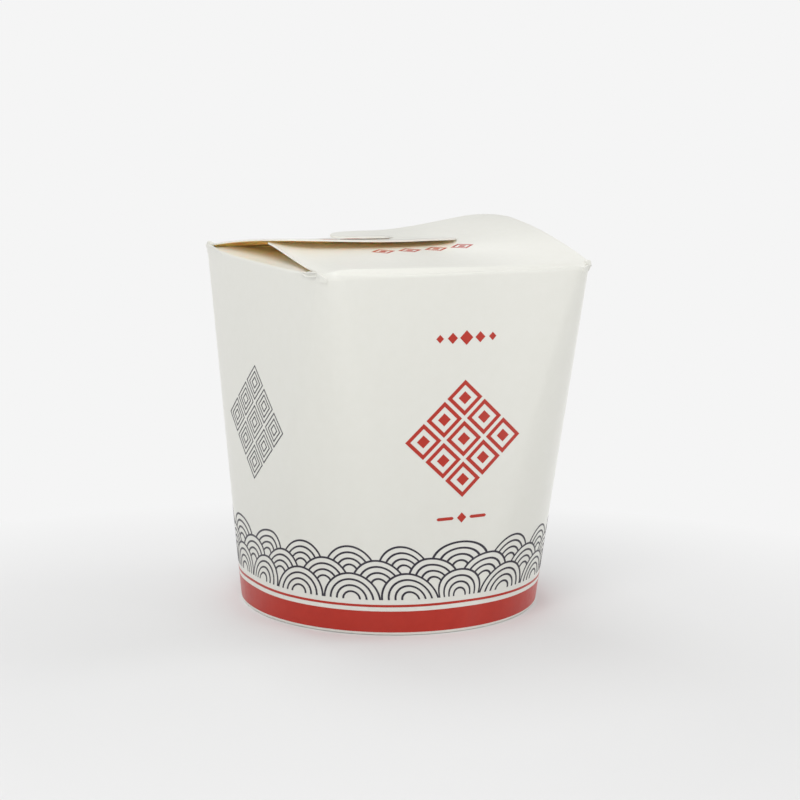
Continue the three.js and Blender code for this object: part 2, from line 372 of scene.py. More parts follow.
def board_material(name, pale, dark, roughness, grain_scale, grain_height, specular=0.5):
    """Paperboard: mottled colour, fine felt-like grain (its height in metres), uneven sheen."""
    material, nodes, links, shader = new_material(name)
    add_streaks(nodes, links, shader)
    coordinates = nodes.new("ShaderNodeTexCoord").outputs["Object"]
    mottle_scale, felt_scale = grain_scale * MOTTLE_SCALE, grain_scale * FELT_SCALE
    mottle = noise(nodes, links, coordinates, mottle_scale, detail=6.0, roughness=0.6)
    grain = noise(nodes, links, coordinates, grain_scale, detail=4.0, roughness=0.6)
    felt = noise(nodes, links, coordinates, felt_scale, detail=2.0)
    colour = mix_colours(nodes, links, spread(nodes, links, mottle, 0.0, 1.0), pale, dark)
    links.new(colour, shader.inputs["Base Color"])
    sheen = spread(nodes, links, felt, roughness - SHEEN_SPREAD, roughness + SHEEN_SPREAD)
    links.new(sheen, shader.inputs["Roughness"])
    shader.inputs["Specular IOR Level"].default_value = specular
    bump(nodes, links, [(felt, grain_height * FELT_HEIGHT), (grain, grain_height)], shader)
    return material


def let_light_through(material):
    """The board is thin, so some of the light on its other face comes through."""
    shader = material.node_tree.nodes["Principled BSDF"]
    shader.inputs["Subsurface Weight"].default_value = 1.0
    shader.inputs["Subsurface Radius"].default_value = LIGHT_RADIUS
    shader.inputs["Subsurface Scale"].default_value = LIGHT_REACH * MM


WHITE = board_material(
    "board_white", pale=(0.760, 0.757, 0.705), dark=(0.748, 0.745, 0.690),
    roughness=0.34, grain_scale=2600.0, grain_height=0.000003,
)
KRAFT = board_material(
    "board_kraft", pale=(0.93, 0.68, 0.36), dark=(0.88, 0.63, 0.32),
    roughness=0.78, grain_scale=1500.0, grain_height=0.000012, specular=0.3,
)
let_light_through(KRAFT)
EDGE = board_material(
    "board_edge", pale=(0.88, 0.87, 0.82), dark=(0.80, 0.78, 0.72),
    roughness=0.85, grain_scale=3500.0, grain_height=0.00002, specular=0.2,
)
BASE = board_material(
    "board_base", pale=(0.77, 0.765, 0.72), dark=(0.72, 0.715, 0.665),
    roughness=0.55, grain_scale=2200.0, grain_height=0.000006,
)
RED_INK = board_material(
    "ink_red", pale=(0.47, 0.026, 0.012), dark=(0.43, 0.022, 0.010),
    roughness=0.34, grain_scale=2600.0, grain_height=0.000003, specular=0.4,
)
DARK_INK = board_material(
    "ink_dark", pale=(0.035, 0.030, 0.045), dark=(0.028, 0.024, 0.036),
    roughness=0.40, grain_scale=2600.0, grain_height=0.000003, specular=0.4,
)

# The materials of a folded sheet of board, and what each is for
SHEET = [WHITE, KRAFT, EDGE]
OUTSIDE, INSIDE, CUT = range(len(SHEET))


# ---- Wall -------------------------------------------------------------------------------------
# (height over the base, inset) round the rolled rim
RIM_PROFILE = [(0.0, 1.15), (0.0, 0.55), (0.06, 0.28), (0.2, 0.1), (0.45, 0.02), (0.9, 0.0)]
# (height over the wall's top, inset)
TOP_PROFILE = [
    (-1.4, 0.0), (-1.0, 0.01), (-0.7, 0.05), (-0.45, 0.14), (-0.25, 0.3), (-0.22, BOARD),
]
# (height over the base, inset) down the inside of the rim
HEM_PROFILE = [
    (4.2, BOARD + 0.1), (3.6, RIM_THICKNESS - 0.15), (3.2, RIM_THICKNESS),
    (0.45, RIM_THICKNESS), (0.12, RIM_THICKNESS - 0.12),
]
# (first height, last height, rows)
OUTER_FACE = (2.5, WALL_HEIGHT - 3.0, 46)
INNER_FACE = (WALL_HEIGHT - 1.5, 5.0, 12)


def wall_profile():
    """(height, inset) round the wall's section."""
    outer = [(z, 0.0) for z in np.linspace(*OUTER_FACE)]
    top = [(WALL_HEIGHT + z, inset) for z, inset in TOP_PROFILE]
    inner = [(z, BOARD) for z in np.linspace(*INNER_FACE)]
    return RIM_PROFILE + outer + top + inner + HEM_PROFILE


def build_wall():
    places = np.arange(STATION_COUNT, dtype=float)
    seam = [SEAM_PLACE - SEAM_CLEFT, SEAM_PLACE]
    places = np.sort(np.concatenate([places[places != SEAM_PLACE], seam]))
    wall = Builder()
    rings = []
    for z, inset in wall_profile():
        first = wall.add_points(wall_point(places, np.full(len(places), z), -inset))
        rings.append((z, inset, first + np.arange(len(places))))
    for (z, inset, below), (z_next, inset_next, above) in zip(rings, rings[1:] + rings[:1]):
        hidden = min(inset, inset_next) >= BOARD and (z + z_next) / 2 > DISC_Z
        kind = INSIDE if hidden else OUTSIDE
        for i in range(len(places)):
            j = (i + 1) % len(places)
            wall.add_face((below[i], below[j], above[j], above[i]), kind)
    piece = wall.piece("wall", [WHITE, KRAFT], "board_white", sharp_angle=50.0)
    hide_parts("carton")


build_wall()


# ---- Lid flaps --------------------------------------------------------------------------------
def smooth(t):
    t = np.clip(t, 0.0, 1.0)
    return t * t * (3.0 - 2.0 * t)


BEVEL_RISE = 2.2
BEVEL_RUN = 1.9
BEVEL_START = 0.03  # share of the flap's width
BEVEL_FADE = 16.0
KNEE_SOFTNESS = 0.06


def knee(t):
    """Rises evenly from 0 to 1 and then stays there, with a soft bend."""
    bend = np.sqrt((t - 1.0) ** 2 + KNEE_SOFTNESS)
    return 0.5 * (t + 1.0 - bend) + 0.5 * (math.sqrt(1 + KNEE_SOFTNESS) - 1)


def bevel(x, distance):
    """The steep strip along the fold, high at the left and gone at the right corner."""
    share = np.clip((x - FLAP_LEFT) / (FLAP_RIGHT - FLAP_LEFT), 0, 1)
    start = 1 - np.exp(-share / BEVEL_START)
    return BEVEL_RISE * (1 - share) * start * knee(distance / BEVEL_RUN)


def free_height(rise, x, y):
    """A lid flap's height over the wall's top where it doesn't meet the other flap."""
    distance = np.maximum(y + HALF_DEPTH, 0.0)
    right = rise["corner"] * (1 - (1 - distance / rise["levels_at"]) ** 2)
    bulge = rise["fold"] * (1 - np.minimum((x / FLAP_RIGHT) ** 2, 1))
    straight = (rise["middle"] - rise["fold"]) * distance / HALF_DEPTH
    rounded = bulge * (1 - np.exp(-distance / FOLD_RUN))
    left = rise["left_slope"] * distance * (1 - np.exp(-distance / LEFT_RUN))
    right_share = smooth(x / FLAP_RIGHT)
    left_share = smooth(x / FLAP_LEFT) * (1 - np.clip(y / SLIT_HALF, 0, 1))
    middle_share = 1 - right_share - left_share
    near = np.exp(-((distance / BEVEL_FADE) ** 2))
    height = middle_share * (straight + rounded) + right_share * right + left_share * left
    return height + near * (bevel(x, distance) - middle_share * rounded)


def flap_height(rise, other, x, y):
    """The same, with the tab pushed over the other flap and the part left of it under that."""
    height = free_height(rise, x, y)
    over = height - free_height(other, -x, -y)
    side = np.clip(y / SLIT_HALF, -1.0, 1.0)
    crossing = 1 - smooth((x + CROSSING_HALF) / (2 * CROSSING_HALF))
    missing = LAYER_PITCH - over * np.sign(side)
    push = 0.5 * (missing + np.hypot(missing, LAYER_SOFTNESS))
    return height + crossing * push * side


def arc(cx, cy, radius, start, end, steps):
    angles = np.linspace(start, end, steps + 1)
    return [(cx + radius * math.cos(a), cy + radius * math.sin(a)) for a in angles]


CUT_SPACING = 0.8


def straight_line(start, end):
    """Points between the two, without either."""
    count = max(2, int(math.dist(start, end) / CUT_SPACING))
    return [tuple(np.add(start, np.subtract(end, start) * i / count)) for i in range(1, count)]


FOLD_INSET = 0.9  # where a flap's flat part starts, in from the wall
FOLD_DROP = 1.0  # how far the fold's skin reaches down the wall
FOLD_ROWS = 7
FOLD_OUT = 1.6  # how strongly the bend sets off outwards
FOLD_DOWN = 2.4  # and ends downwards
FOLD_END = 0.02  # the skin's thickness where it ends on the wall

OUTLINE_MARGIN = 0.3  # between a sheet's cut edge and the points inside it
MESH_TOLERANCE = 1e-5
VECTOR_TOLERANCE = 1e-4  # a Vector holds single-precision numbers
# (from, to, spacing, finer spots as (middle, half width, spacing))
LID_LINES_X = (-43.0, 43.2, 1.3, [(0.0, 4.0, 0.5)])
LID_LINES_Y = (-46.4, 15.5, 1.2, [(-46.0, 3.4, 0.3), (0.0, 1.6, 0.2)])


def hinge_points(places):
    facing = facing_at(places)
    x, y = top_at(places)
    return np.stack([x - FOLD_INSET * np.cos(facing), y - FOLD_INSET * np.sin(facing)], axis=-1)


def hinge_places():
    """The front side's stations, with as much of its corners as the flap covers."""
    places = np.arange(-CORNER_STEPS, SIDE_STEPS + CORNER_STEPS + 1, dtype=float)
    x = hinge_points(places)[:, 0]
    return places[(x > FLAP_LEFT) & (x < FLAP_RIGHT)]


def flap_cut_edge(start, end):
    """The cut edge from the hinge's right end to its left end."""
    tab_radius = (FLAP_REACH - TAB_INNER) / 2
    corner = (FLAP_RIGHT - FREE_CORNER_RADIUS, FLAP_REACH - FREE_CORNER_RADIUS)
    tab = (TAB_ROUND_X, TAB_INNER + tab_radius)
    left = (FLAP_LEFT + LEFT_CORNER_RADIUS, -SLIT_HALF - LEFT_CORNER_RADIUS)
    stretches = [
        arc(*corner, FREE_CORNER_RADIUS, 0, QUARTER, steps=24),
        arc(*tab, tab_radius, QUARTER, 3 * QUARTER, steps=28),
        [(TAB_ROOT_X, SLIT_HALF)],
        arc(SLIT_END_X, 0, SLIT_HALF, QUARTER, -QUARTER, steps=10),
        arc(*left, LEFT_CORNER_RADIUS, QUARTER, 2 * QUARTER, steps=14),
    ]
    points, last = [], start
    for stretch in stretches:
        points += straight_line(last, stretch[0]) + stretch
        last = stretch[-1]
    return points + straight_line(last, end)


def grid_lines(low, high, spacing, fine_spots):
    """Lines from low to high, closer together near each (middle, half width, spacing)."""
    lines, at = [], low
    while at < high:
        lines.append(at)
        near = [fine for middle, half, fine in fine_spots if abs(at - middle) < half]
        at += min(near + [spacing])
    return np.array(lines)


def inside_outline(points, outline, margin):
    """Which points lie inside the outline and more than the margin away from it."""
    x, y = points[:, 0], points[:, 1]
    inside = np.zeros(len(points), bool)
    nearest = np.full(len(points), np.inf)
    for (ax, ay), (bx, by) in zip(outline, np.roll(outline, -1, axis=0)):
        if ay != by:
            crosses = ((ay > y) != (by > y)) & (x < (bx - ax) * (y - ay) / (by - ay) + ax)
            inside ^= crosses
        length = max((bx - ax) ** 2 + (by - ay) ** 2, 1e-9)
        t = np.clip(((x - ax) * (bx - ax) + (y - ay) * (by - ay)) / length, 0, 1)
        nearest = np.minimum(nearest, np.hypot(x - ax - t * (bx - ax), y - ay - t * (by - ay)))
    return inside & (nearest > margin)


def build_sheet(outline, hinge, height, turned, xs, ys):
    """A sheet of board over a flat outline, whose first stretch folds down onto the wall.

    hinge is the stations of that stretch, height(x, y) the top's height over the wall's top.
    """
    turn = -1.0 if turned else 1.0
    grid = np.stack(np.meshgrid(xs, ys), axis=-1).reshape(-1, 2)
    inner = grid[inside_outline(grid, outline, OUTLINE_MARGIN)]
    flat = [Vector(p) for p in np.vstack([outline, inner])]
    count = len(outline)
    edges = [(i, (i + 1) % count) for i in range(count)]
    points, _, triangles = delaunay_2d_cdt(flat, edges, [], 1, MESH_TOLERANCE)[:3]
    flat_points = np.array([tuple(p) for p in points])
    assert np.allclose(flat_points[:count], outline, atol=VECTOR_TOLERANCE)
    top_z = WALL_HEIGHT + height(flat_points[:, 0], flat_points[:, 1])
    sheet = Builder()
    upper = np.column_stack([turn * flat_points, top_z])
    top_first = sheet.add_points(upper)
    bottom_first = sheet.add_points(upper - (0, 0, BOARD))
    for triangle in triangles:
        a, b, c = (flat_points[i] for i in triangle)
        ahead = (b[0] - a[0]) * (c[1] - a[1]) - (b[1] - a[1]) * (c[0] - a[0]) > 0
        order = triangle if ahead else triangle[::-1]
        sheet.add_face([top_first + i for i in order], OUTSIDE)
        sheet.add_face([bottom_first + i for i in order[::-1]], INSIDE)
    folded = len(hinge)
    for i in range(folded - 1, count):
        j = (i + 1) % count
        sheet.add_face((top_first + i, bottom_first + i, bottom_first + j, top_first + j), CUT)
    places = hinge + (HALF_ROUND if turned else 0)
    fold_skin(sheet, places, upper[:folded], top_first, bottom_first)
    return sheet


def fold_skin(sheet, places, upper, top_first, bottom_first):
    """The bend from the flap's edge down onto the wall, tapering to nothing on the wall."""
    wall_end = wall_point(places, np.full(len(places), WALL_HEIGHT - FOLD_DROP))
    outward = outward_at(places)
    down = np.array([0.0, 0.0, -1.0])
    steps = np.arange(len(places))
    top, bottom = top_first + steps, bottom_first + steps
    for row in range(1, FOLD_ROWS + 1):
        t = row / FOLD_ROWS
        weights = (2 * t**3 - 3 * t**2 + 1, t**3 - 2 * t**2 + t, 3 * t**2 - 2 * t**3, t**3 - t**2)
        bend = (
            weights[0] * upper
            + weights[1] * FOLD_OUT * outward
            + weights[2] * wall_end
            + weights[3] * FOLD_DOWN * down
        )
        thickness = BOARD * (1 - t) + FOLD_END * t
        tilt = smooth(t)
        inward = -outward * tilt + down * (1 - tilt)
        under = bend + thickness * inward / np.linalg.norm(inward, axis=1)[:, None]
        next_top, next_bottom = sheet.add_points(bend) + steps, sheet.add_points(under) + steps
        for i in steps[:-1]:
            j = i + 1
            sheet.add_face((top[i], next_top[i], next_top[j], top[j]), OUTSIDE)
            sheet.add_face((bottom[j], next_bottom[j], next_bottom[i], bottom[i]), INSIDE)
        for i, flip in ((0, False), (-1, True)):
            side = (top[i], bottom[i], next_bottom[i], next_top[i])
            sheet.add_face(side[::-1] if flip else side, CUT)
        top, bottom = next_top, next_bottom
    for i in steps[:-1]:
        sheet.add_face((top[i], bottom[i], bottom[i + 1], top[i + 1]), CUT)


def build_lid_flap(name, rise, other, turned):
    def height(x, y):
        return flap_height(rise, other, x, y)

    hinge = hinge_places()
    start = hinge_points(hinge)
    outline = np.array([*map(tuple, start), *flap_cut_edge(tuple(start[-1]), tuple(start[0]))])
    xs, ys = grid_lines(*LID_LINES_X), grid_lines(*LID_LINES_Y)
    sheet = build_sheet(outline, hinge, height, turned, xs, ys)
    piece = sheet.piece(name, SHEET, "board_white")
    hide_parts("carton")


build_lid_flap("front_flap", FRONT_RISE, REAR_RISE, turned=False)
build_lid_flap("rear_flap", REAR_RISE, FRONT_RISE, turned=True)


# ---- Side flaps -------------------------------------------------------------------------------
SIDE_FLAP_SHARE = 0.9  # of the side's straight stretch, at the free edge
SIDE_FLAP_CORNER = 7.0
SIDE_FOLD_EXTRA = 0.3  # share of each corner into which the fold runs on
# (spacing, finer spots as (middle, half width, spacing))
SIDE_LINES_X = (1.6, [(HALF_WIDTH, 3.0, 0.4)])
SIDE_LINES_Y = (1.8, [])
SHOULDER_RISE = 1.3  # of the springy board beside the fold, in the middle of the side
SHOULDER_RUN = 5.5
# Distances from the side's two ends over which it appears; the lid lies lower at the second end.
SHOULDER_START = (2.0, 9.0)
SHOULDER_LENGTH = (14.0, 17.0)


def side_flap_height(x, y):
    distance = np.maximum(HALF_WIDTH - np.abs(x), 0.0)
    start = np.where(y < 0, *SHOULDER_START)
    share = smooth((HALF_DEPTH - np.abs(y) - start) / np.where(y < 0, *SHOULDER_LENGTH))
    steps = distance / SHOULDER_RUN
    shoulder = SHOULDER_RISE * share * steps * np.exp(1 - steps)
    return shoulder - SIDE_FLAP_SLOPE * distance


def build_side_flap(name, turned):
    """The right side's flap, or the left one's turned half round."""
    extra = CORNER_STEPS * SIDE_FOLD_EXTRA
    hinge = np.arange(SIDE_SPAN - extra, SIDE_SPAN + SIDE_STEPS + extra)
    start = hinge_points(hinge)
    inner = HALF_WIDTH - SIDE_FLAP_REACH
    end_y = SIDE_FLAP_SHARE * (HALF_DEPTH - CORNER_RADIUS)
    radius = SIDE_FLAP_CORNER
    far = arc(inner + radius, end_y - radius, radius, QUARTER, 2 * QUARTER, steps=12)
    near = arc(inner + radius, -end_y + radius, radius, 2 * QUARTER, 3 * QUARTER, steps=12)
    cut = straight_line(tuple(start[-1]), far[0]) + far
    cut += straight_line(far[-1], near[0]) + near + straight_line(near[-1], tuple(start[0]))
    outline = np.array([*map(tuple, start), *cut])
    xs = grid_lines(inner, HALF_WIDTH + SIDE_BOW, *SIDE_LINES_X)
    ys = grid_lines(-HALF_DEPTH, HALF_DEPTH, *SIDE_LINES_Y)
    sheet = build_sheet(outline, hinge, side_flap_height, turned, xs, ys)
    piece = sheet.piece(name, SHEET, "board_white")
    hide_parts("carton")


build_side_flap("side_flap_right", turned=False)
build_side_flap("side_flap_left", turned=True)


# ---- Corners: the web between two flaps is pinched into a small fold --------------------------
CRUMPLE_SHARP_ANGLE = 60.0
ROUND_STEPS = 9  # over the top of an ear or a web

EAR_THICKNESS = 0.95
EAR_ROOT = 1.6  # how far it reaches down
EAR_STEPS = 25
EAR_ROUNDING = 0.7  # height of its rounded top, as a share of half its thickness
EAR_WAVE = 0.16
EAR_WAVE_PITCH = 2.4
EAR_TIP_THICKNESS = 0.45  # share of its thickness that is left at the outer end
EAR_TIP_RUN = 0.8
# (outwards along the corner's diagonal, height over the wall's top)
EAR_OUTLINE = (
    (-2.6, -0.5), (-1.9, 0.7), (-1.1, 1.35), (-0.3, 1.66), (0.4, 1.62), (0.75, 1.1), (0.85, 0.2),
)


def build_ear(name, side):
    """A doubled strip of board standing on the corner's diagonal, with a rounded top."""
    x, y, facing = corner_point(side, 0.5)
    outward = np.array([math.cos(facing), math.sin(facing), 0.0])
    across = np.array([-outward[1], outward[0], 0.0])
    marks = np.array(EAR_OUTLINE)
    end = marks[-1, 0]
    half = EAR_THICKNESS / 2
    rounding = half * EAR_ROUNDING
    turns = np.linspace(0, math.pi, ROUND_STEPS)
    # (across, height over the flat sides' top, or None at the root)
    section = [(half * math.cos(turn), rounding * math.sin(turn)) for turn in turns]
    section = [(half, None), *section, (-half, None)]
    rings = []
    for run in np.linspace(marks[0, 0], end, EAR_STEPS):
        top = np.interp(run, marks[:, 0], marks[:, 1])
        sway = EAR_WAVE * math.sin(EAR_WAVE_PITCH * run + side)
        thin = EAR_TIP_THICKNESS + (1 - EAR_TIP_THICKNESS) * smooth((end - run) / EAR_TIP_RUN)
        root = EAR_ROOT * (1 - smooth(run / end))
        middle = np.array([x, y, WALL_HEIGHT]) + run * outward + sway * across
        rings.append([
            middle + aside * thin * across + (0, 0, -root if up is None else top - rounding + up)
            for aside, up in section
        ])
    ear = Builder()
    ear.add_bar(rings)
    piece = ear.piece(name, [WHITE], "board_white", sharp_angle=CRUMPLE_SHARP_ANGLE)
    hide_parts("carton")


WEB_THICKNESS = 0.45
WEB_ROOT = 1.7  # how far it reaches down
WEB_FOOT = 2.4  # how far its inner face slopes in under the flap
WEB_STEPS = 91
WEB_FACE_SHARES = (0, 0.96, 16)  # from, to and how many, up its outer face
WEB_SOFTENING = (0.1, 0.2, 0.4, 0.2, 0.1)  # weights of a step and its neighbours
# (stations past the corner's start, height over the wall's top, lean outwards)
TALL_WEB = (
    (4, -0.4, 0.0), (8, 0.3, 0.3), (13, 0.7, 0.5), (18, 0.9, 0.6), (22, 1.0, 0.6),
    (25, 1.15, 0.5), (27, 1.05, 0.3), (28.5, 0.65, 0.25), (30, 0.25, 0.1), (32, -0.4, 0.0),
)
LOW_WEB = (
    (-8, -0.4, 0.0), (-5.6, -0.1, 0.05), (-4.7, 0.35, 0.4), (-3.7, 0.3, 0.0), (-2.8, 0.75, 0.45),
    (-1.6, 0.95, 0.6), (0, 0.9, 0.1), (2.5, 0.85, 0.4), (6, 0.35, 0.15), (10, -0.4, 0.0),
)

# A small curved roll with a dent over it, pressed into a low web beside the end of the fold.
ROLL_RISE = 0.42
ROLL_PLACE = -2.2  # of its middle, in stations past the corner's start
ROLL_HALF = 3.2  # stations
ROLL_UP = 0.46  # of its middle, as a share of the web's height
ROLL_SAG = 0.38  # from its ends down to its middle, likewise
ROLL_WIDTH = 0.1  # likewise
DENT_DEPTH = 0.7  # share of ROLL_RISE
DENT_WIDTH = 1.6  # roll widths
DENT_UP = 1.5  # dent widths over the roll


def roll(run, share):
    aside = (run - ROLL_PLACE) / ROLL_HALF
    over = (share - ROLL_UP - ROLL_SAG * aside**2) / ROLL_WIDTH
    dent = DENT_DEPTH * math.exp(-((over / DENT_WIDTH - DENT_UP) ** 2))
    return ROLL_RISE * math.exp(-(aside**4)) * (math.exp(-(over**2)) - dent)


def softened(runs, marks, column):
    values = np.interp(runs, marks[:, 0], marks[:, column])
    spare = len(WEB_SOFTENING) // 2
    return np.convolve(np.pad(values, spare, "edge"), WEB_SOFTENING, "valid")


def build_web(name, side, outline, has_roll):
    """The crumpled strip of board between two flaps, standing along the top's corner."""
    first = side * SIDE_SPAN + SIDE_STEPS
    marks = np.array(outline)
    runs = np.linspace(marks[0, 0], marks[-1, 0], WEB_STEPS)
    rise, lean = softened(runs, marks, 1), softened(runs, marks, 2)
    top = wall_point(first + runs, np.full(len(runs), WALL_HEIGHT))
    half = WEB_THICKNESS / 2
    turns = np.linspace(0, math.pi, ROUND_STEPS)
    # (across, share of the height, height over that)
    section = [(half, share, 0.0) for share in np.linspace(*WEB_FACE_SHARES)]
    section += [(half * math.cos(turn), 1.0, half * math.sin(turn)) for turn in turns]
    section.append((-half - WEB_FOOT, 0.0, 0.0))
    rings = []
    for run, place, normal, height, tilt in zip(runs, top, outward_at(first + runs), rise, lean):
        ring = []
        for aside, share, cap in section:
            up = -WEB_ROOT + share * (height - half + WEB_ROOT) + cap
            out = aside - half + tilt * share**2
            if has_roll and aside == half:
                out += roll(run, share)
            ring.append(place + out * normal + (0, 0, up))
        rings.append(ring)
    web = Builder()
    web.add_bar(rings)
    piece = web.piece(name, [WHITE], "board_white", sharp_angle=CRUMPLE_SHARP_ANGLE)
    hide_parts("carton")


build_ear("ear_front_right", 0)
build_ear("ear_rear_left", 2)
build_web("web_front_right", 0, TALL_WEB, has_roll=False)
build_web("web_rear_right", 1, LOW_WEB, has_roll=True)
build_web("web_rear_left", 2, TALL_WEB, has_roll=False)
build_web("web_front_left", 3, LOW_WEB, has_roll=True)


# ---- Base disc --------------------------------------------------------------------------------
DISC_RADIUS = BASE_RADIUS - RIM_THICKNESS + 0.05  # glued into the rim
DISC_STEPS = 144
# (in from the disc's edge, height over its underside) of the rings between its two middles
DISC_PROFILE = (
    (DISC_RADIUS / 2, 0.02), (2.2, 0.0), (0.9, -0.08), (0.3, -0.3),
    (0.0, -0.7), (0.0, 0.2), (1.0, BOARD),
)


def build_base_disc():
    disc = Builder()
    angles = np.arange(DISC_STEPS) * 2 * math.pi / DISC_STEPS
    rings = [[disc.add_points([(0, 0, DISC_Z)])] * DISC_STEPS]
    for inset, z in DISC_PROFILE:
        radius = DISC_RADIUS - inset
        heights = np.full(DISC_STEPS, DISC_Z + z)
        ring = np.column_stack([radius * np.cos(angles), radius * np.sin(angles), heights])
        rings.append(disc.add_points(ring) + np.arange(DISC_STEPS))
    rings.append([disc.add_points([(0, 0, DISC_Z + BOARD)])] * DISC_STEPS)
    for lower, upper in zip(rings, rings[1:]):
        for i in range(DISC_STEPS):
            j = (i + 1) % DISC_STEPS
            disc.add_face(dict.fromkeys((lower[j], lower[i], upper[i], upper[j])))
    piece = disc.piece("base_disc_board", [BASE], "board_base")
    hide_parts("base_disc")


build_base_disc()


# ---- Print: thin closed patches of ink on the board, in millimetres along and up the wall -----
INK_OUT = 0.045  # how far a patch stands out of the board
INK_IN = 0.02
INK_STEP = 0.45
LEAST_STEPS = 3
ROUND_END = 0.98  # of a line: just under 1, so that its tip keeps a little width

BORDER_LEVEL = 16.0  # the border's lengths along the wall are those at this height
STRIPES = ((1.0, 7.4), (8.7, 9.4))  # from and up to these heights
FAN_COUNT = 18  # round the box
FAN_SPARE = 2  # more at each end of a row, which only cover the fans behind them
FAN_FOOT = 10.9
FAN_ROWS = 3
FAN_LINES = (0.965, 0.74, 0.515, 0.29)  # shares of a fan's radius
FAN_LINE_WIDTH = 0.56

LATTICE_CELL = (6.4, 5.9)  # half lengths, along and up
LATTICE_UP = 57.0
CELL_FILL = 0.88  # share of its cell that a lozenge takes
BAND_ROWS = 4
BOLD_BANDS = ((0.72, 1.0), (0.0, 0.36))  # shares of the lozenge between which there is ink
FINE_BANDS = ((0.9, 1.0), (0.58, 0.68), (0.26, 0.36))

DIAMONDS_UP = 86.0
DIAMONDS = ((-8.4, 1.2), (-4.4, 1.6), (0.0, 2.1), (4.4, 1.6), (8.4, 1.2))  # (along, radius)
RULE_UP = 34.0
RULE_ENDS = ((-8.0, -2.6), (2.6, 8.0))
RULE_WIDTH = 0.9
RULE_POINTS = 14
RULE_DIAMOND = 1.5

LID_CELL = (4.3, 3.3)
LID_FIRST = (-12.6, -19.0)  # middle of the first lozenge
LID_COUNT = 4


class Ink:
    """One print colour: patches, each a grid of (along, up) points, laid on a surface."""

    def __init__(self, surface, seam=None, round_length=math.inf):
        self.surface = surface
        self.seam = seam
        self.round_length = round_length
        self.layer = Builder()

    def add_patch(self, grid):
        """Lays a patch, in two parts if it crosses the seam."""
        if self.seam is None:
            self.lay_patch(grid)
            return
        rounds = np.floor((grid[..., 0] - self.seam) / self.round_length)
        for number in np.unique(rounds):
            columns = (rounds == number).all(axis=0)
            if np.count_nonzero(columns) > 1:
                self.lay_patch(grid[:, columns])

    def lay_patch(self, grid, closed=False):
        """grid[i, j] goes along the surface with j and up it with i; closed joins j's ends."""
        rows, columns = grid.shape[:2]
        outer = self.layer.add_points(self.surface(grid, INK_OUT))
        inner = self.layer.add_points(self.surface(grid, -INK_IN))
        index = np.arange(rows * columns).reshape(rows, columns)
        if closed:
            index = np.column_stack([index, index[:, 0]])
            rims = [index[0], index[-1, ::-1]]
        else:
            rim = [*index[0, :-1], *index[:-1, -1], *index[-1, :0:-1], *index[:0:-1, 0]]
            rims = [rim + rim[:1]]
        for lower, upper in zip(index, index[1:]):
            for j in range(len(lower) - 1):
                quad = (lower[j], lower[j + 1], upper[j + 1], upper[j])
                self.layer.add_face([outer + k for k in quad])
                self.layer.add_face([inner + k for k in quad[::-1]])
        for rim in rims:
            for p, q in zip(rim, rim[1:]):
                self.layer.add_face((outer + q, outer + p, inner + p, inner + q))

    def add_line(self, path, width):
        """A line with rounded ends."""
        step = np.gradient(path, axis=0)
        left = np.column_stack([-step[:, 1], step[:, 0]])
        left /= np.linalg.norm(left, axis=1)[:, None]
        run = np.concatenate([[0.0], np.cumsum(np.linalg.norm(np.diff(path, axis=0), axis=1))])
        to_end = np.minimum(run, run[-1] - run) / (width / 2)
        reach = width / 2 * np.sqrt(1 - ROUND_END * np.clip(1 - to_end, 0, 1) ** 2)
        self.add_patch(np.stack([path + side * reach[:, None] * left for side in (-1, 0, 1)]))

    def add_diamond(self, along, up, radius):
        left, bottom, right, top = ((-1, 0), (0, -1), (1, 0), (0, 1))
        corners = np.array([[left, bottom], [top, right]], float)
        self.add_patch(np.array((along, up)) + radius * corners)

    def add_lozenge(self, centre, cell, bands):
        """Lozenges inside one another: closed bands, and a filled one where a band starts at 0."""
        left, top, right, bottom = CELL_FILL * np.array([(-1, 0), (0, 1), (1, 0), (0, -1)]) * cell
        steps = int(math.hypot(*cell) / INK_STEP) + 1
        outline = np.concatenate([
            np.linspace(start, end, steps, endpoint=False)
            for start, end in ((left, top), (top, right), (right, bottom), (bottom, left))
        ])
        for low, high in bands:
            if low == 0:
                shares = np.linspace(0, 1, int(high * steps) + 2)
                across = shares[None, :, None] * (bottom - left)
                upwards = shares[:, None, None] * (top - left)
                self.lay_patch(centre + high * (left + across + upwards))
            else:
                shares = np.linspace(low, high, BAND_ROWS)
                self.lay_patch(centre + shares[:, None, None] * outline, closed=True)

    def add_lattice(self, up, bands):
        """Nine lozenges that fill a large one."""
        for i in range(3):
            for j in range(3):
                centre = ((i - j) * LATTICE_CELL[0], up + (i + j - 2) * LATTICE_CELL[1])
                self.add_lozenge(centre, LATTICE_CELL, bands)

    def add_ring(self, centre, radii, covers, foot):
        """The part of a ring that shows over the foot line and beside the covering discs."""
        arcs = [(radius, shown_arc(centre, radius, covers, foot)) for radius in radii]
        arcs = [(radius, ends) for radius, ends in arcs if ends is not None]
        if len(arcs) < 2:
            return
        steps = int(math.pi * radii[0] / INK_STEP) + LEAST_STEPS
        grid = []
        for radius, (first, last) in arcs:
            angles = np.linspace(first, last, steps)
            grid.append(np.column_stack([np.cos(angles), np.sin(angles)]) * radius + centre)
        self.add_patch(np.array(grid))

    def piece(self, name, material, slot):
        piece = self.layer.piece(name, [material], slot)
        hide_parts("carton")


